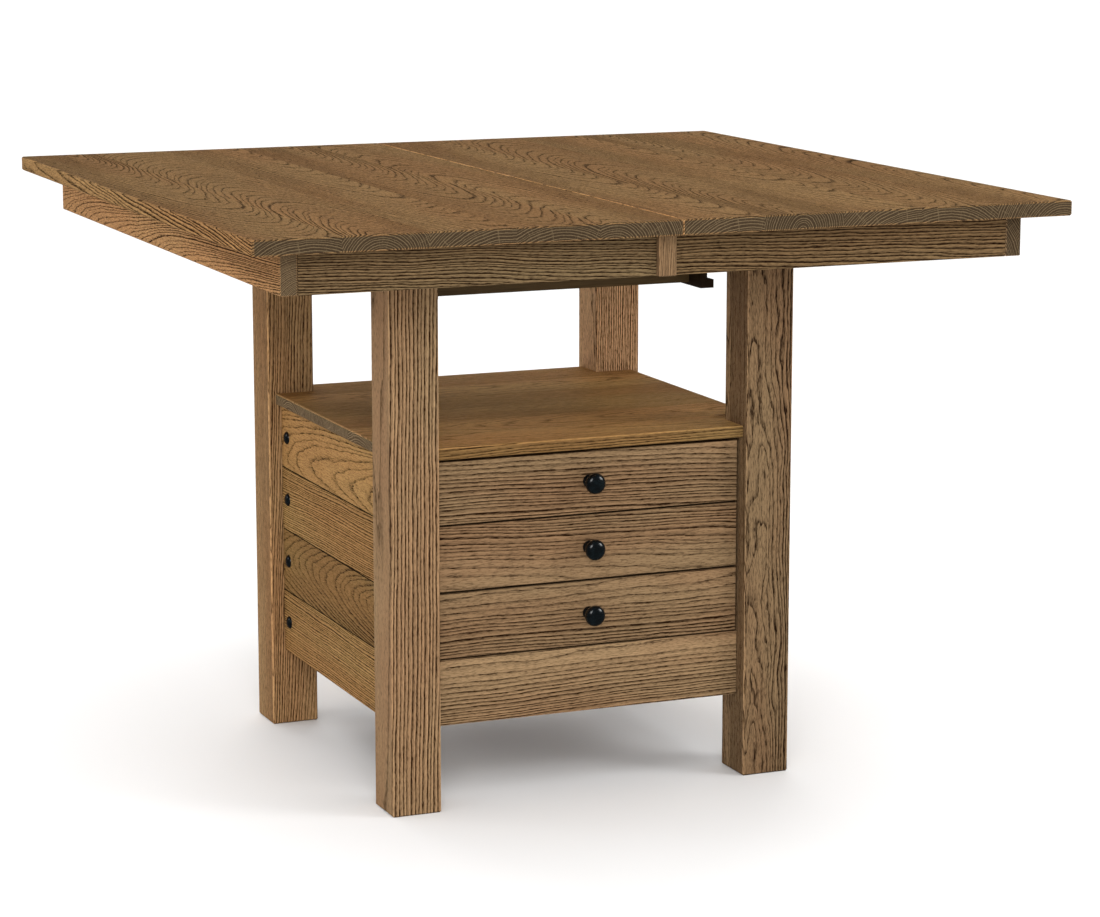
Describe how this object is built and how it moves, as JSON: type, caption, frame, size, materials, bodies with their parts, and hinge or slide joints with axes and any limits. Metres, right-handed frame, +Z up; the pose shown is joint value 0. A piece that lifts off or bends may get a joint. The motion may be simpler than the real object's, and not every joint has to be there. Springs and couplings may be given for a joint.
{
  "type": "kitchen table with storage cabinet",
  "caption": "Counter-height kitchen table with a split extending top on a four-leg base that holds an open shelf and a plank-sided cabinet of drawers.",
  "frame": {"origin": "on the floor, at the middle of the base and of the closed top", "axes": "+X along the front to the right, +Y from the drawer front to the back, +Z up"},
  "size_m": [1.26, 1.258, 0.9144],
  "materials": {
    "stained_oak": "brown-stained oak, satin clear coat",
    "frame_hardwood": "brown-stained hardwood, thin satin coat",
    "drawer_wood": "clear-coated pale hardwood",
    "black_metal": "satin black",
    "slide_steel": "zinc-plated rolled steel",
    "gear_nylon": "natural nylon"
  },
  "bodies": {
    "base": {"leg_front_left": "stained_oak", "leg_front_right": "stained_oak", "leg_rear_left": "stained_oak", "leg_rear_right": "stained_oak", "top_rail_front": "stained_oak", "top_rail_rear": "stained_oak", "top_rail_left": "stained_oak", "top_rail_right": "stained_oak", "slide_bed_front": "frame_hardwood", "slide_bed_rear": "frame_hardwood", "pinion_axles": "slide_steel", "tie_bars": "frame_hardwood", "shelf": "stained_oak", "side_planks_left": "stained_oak", "side_planks_right": "stained_oak", "back_planks": "stained_oak", "corner_posts": "frame_hardwood", "plank_studs": "black_metal", "bottom_rail": "stained_oak", "cabinet_floor": "frame_hardwood", "cabinet_slides": "slide_steel"},
    "left_half": {"top_left": "stained_oak", "alignment_pins": "frame_hardwood", "end_apron_left": "stained_oak", "front_apron_left": "stained_oak", "rear_apron_left": "stained_oak", "corner_blocks_left": "frame_hardwood", "cover_batten_front": "stained_oak", "runner_left_front": "frame_hardwood", "runner_left_rear": "frame_hardwood", "gear_racks_left": "gear_nylon"},
    "right_half": {"top_right": "stained_oak", "end_apron_right": "stained_oak", "front_apron_right": "stained_oak", "rear_apron_right": "stained_oak", "corner_blocks_right": "frame_hardwood", "cover_batten_rear": "stained_oak", "runner_right_rear": "frame_hardwood", "runner_right_front": "frame_hardwood", "gear_racks_right": "gear_nylon"},
    "pinion_front": {"pinion_front": "gear_nylon"},
    "pinion_rear": {"pinion_rear": "gear_nylon"},
    "drawer_1": {"drawer_front_1": "stained_oak", "drawer_box_1": "drawer_wood", "drawer_bottom_1": "drawer_wood", "drawer_knob_1": "black_metal", "drawer_slides_1": "slide_steel"},
    "drawer_1_middle_slides": {"drawer_middle_slides_1": "slide_steel"},
    "drawer_2": {"drawer_front_2": "stained_oak", "drawer_box_2": "drawer_wood", "drawer_bottom_2": "drawer_wood", "drawer_knob_2": "black_metal", "drawer_slides_2": "slide_steel"},
    "drawer_2_middle_slides": {"drawer_middle_slides_2": "slide_steel"},
    "drawer_3": {"drawer_front_3": "stained_oak", "drawer_box_3": "drawer_wood", "drawer_bottom_3": "drawer_wood", "drawer_knob_3": "black_metal", "drawer_slides_3": "slide_steel"},
    "drawer_3_middle_slides": {"drawer_middle_slides_3": "slide_steel"}
  },
  "joints": [
    {"name": "left_half_slide", "type": "slide", "parent": "base", "child": "left_half", "axis": [-1, 0, 0], "range_m": [0, 0.1525]},
    {"name": "right_half_slide", "type": "slide", "parent": "base", "child": "right_half", "axis": [1, 0, 0], "range_m": [0, 0.1525]},
    {"name": "pinion_front_spin", "type": "hinge", "parent": "base", "child": "pinion_front", "pos_m": [0, -0.1955, 0.876], "axis": [0, 0, -1], "range_deg": [0, 586]},
    {"name": "pinion_rear_spin", "type": "hinge", "parent": "base", "child": "pinion_rear", "pos_m": [0, 0.1955, 0.876], "axis": [0, 0, -1], "range_deg": [0, 586]},
    {"name": "drawer_1_slide", "type": "slide", "parent": "base", "child": "drawer_1", "axis": [0, -1, 0], "range_m": [0, 0.45]},
    {"name": "drawer_1_middle_slide", "type": "slide", "parent": "base", "child": "drawer_1_middle_slides", "axis": [0, -1, 0], "range_m": [0, 0.225]},
    {"name": "drawer_2_slide", "type": "slide", "parent": "base", "child": "drawer_2", "axis": [0, -1, 0], "range_m": [0, 0.45]},
    {"name": "drawer_2_middle_slide", "type": "slide", "parent": "base", "child": "drawer_2_middle_slides", "axis": [0, -1, 0], "range_m": [0, 0.225]},
    {"name": "drawer_3_slide", "type": "slide", "parent": "base", "child": "drawer_3", "axis": [0, -1, 0], "range_m": [0, 0.45]},
    {"name": "drawer_3_middle_slide", "type": "slide", "parent": "base", "child": "drawer_3_middle_slides", "axis": [0, -1, 0], "range_m": [0, 0.225]}
  ],
  "couplings": [
    {"joint": "right_half_slide", "follows": "left_half_slide", "ratio": 1},
    {"joint": "pinion_front_spin", "follows": "left_half_slide", "rad_per_m": 66.964},
    {"joint": "pinion_rear_spin", "follows": "left_half_slide", "rad_per_m": 66.964},
    {"joint": "drawer_1_middle_slide", "follows": "drawer_1_slide", "ratio": 0.5},
    {"joint": "drawer_2_middle_slide", "follows": "drawer_2_slide", "ratio": 0.5},
    {"joint": "drawer_3_middle_slide", "follows": "drawer_3_slide", "ratio": 0.5}
  ]
}
